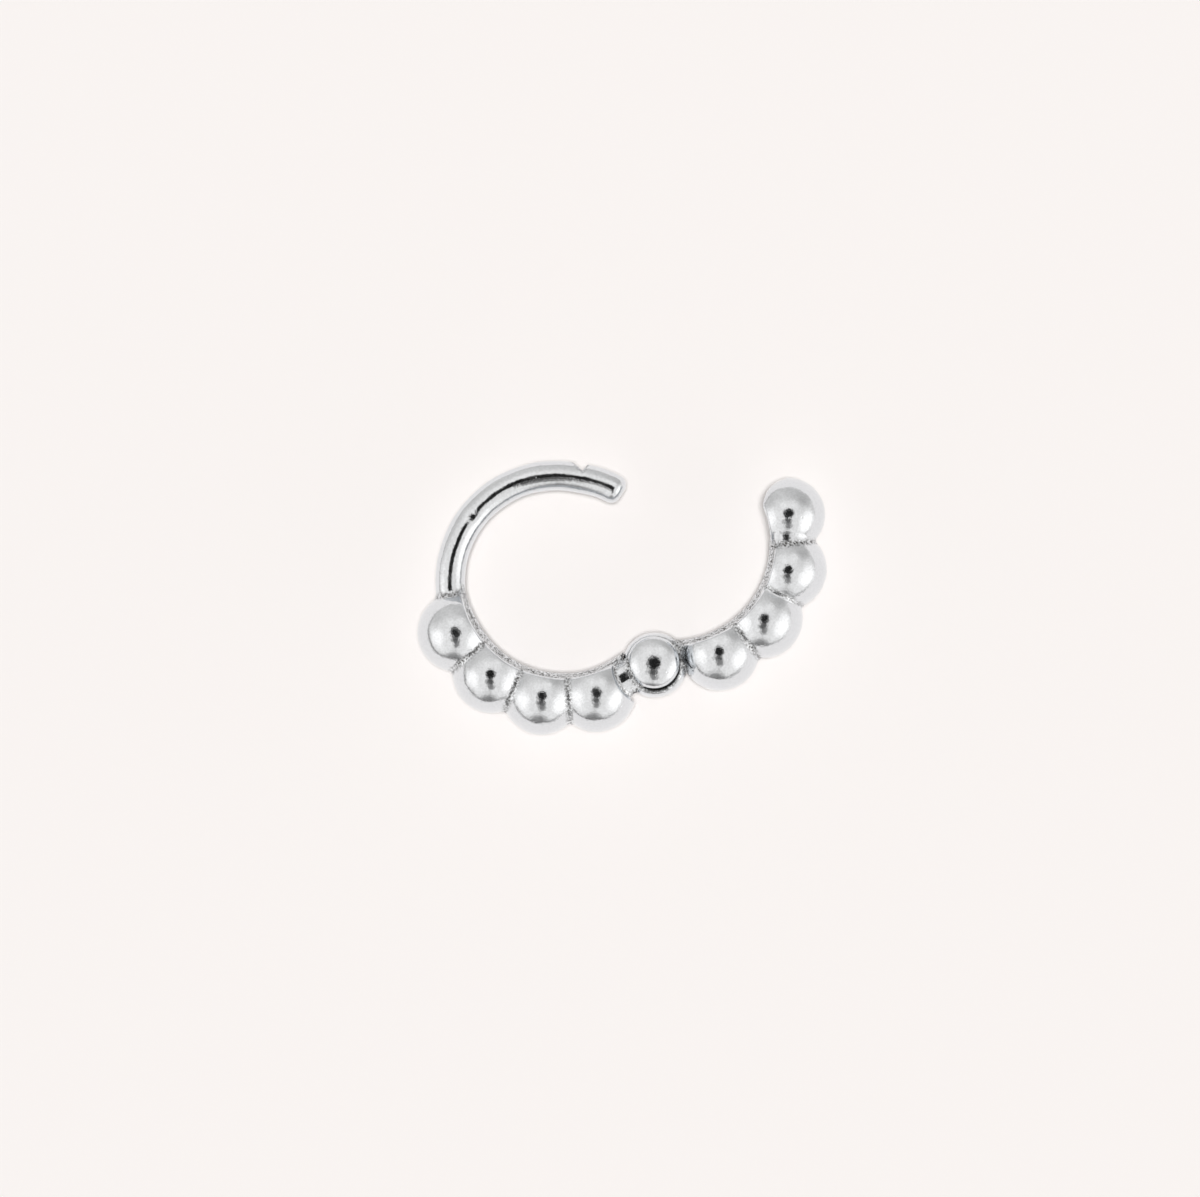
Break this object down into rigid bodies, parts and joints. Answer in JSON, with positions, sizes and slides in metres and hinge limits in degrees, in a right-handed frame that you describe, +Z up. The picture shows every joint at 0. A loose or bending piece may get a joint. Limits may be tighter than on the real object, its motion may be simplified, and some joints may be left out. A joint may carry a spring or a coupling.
{
  "type": "beaded hoop earring",
  "caption": "Hinged silver hoop earring lying open: a bare wire half with a notched tip, and a swinging row of round beads whose end bead takes the tip.",
  "frame": {"origin": "under the middle of the open hoop's box, on the surface that it lies on", "axes": "+Z up through the hoop's hole, out of its front face; +X along the open hoop's length, from the first bead to the end bead; +Y from the hinge towards the wire's tip"},
  "size_m": [0.017, 0.0114, 0.0033],
  "materials": {
    "cast_silver": "polished sterling silver, softly worn, grey and granular in the grooves between the beads",
    "pin_silver": "drawn sterling silver wire, dull at its cut end"
  },
  "bodies": {
    "fixed_half": {"wire_half": "cast_silver", "hinge_pin": "pin_silver"},
    "swinging_half": {"swing_arm": "cast_silver"}
  },
  "joints": [
    {"name": "hinge", "type": "hinge", "parent": "fixed_half", "child": "swinging_half", "pos_m": [0.00137, -0.00281, 0.00164], "axis": [0, 0, 1], "range_deg": [-80, 55]}
  ]
}
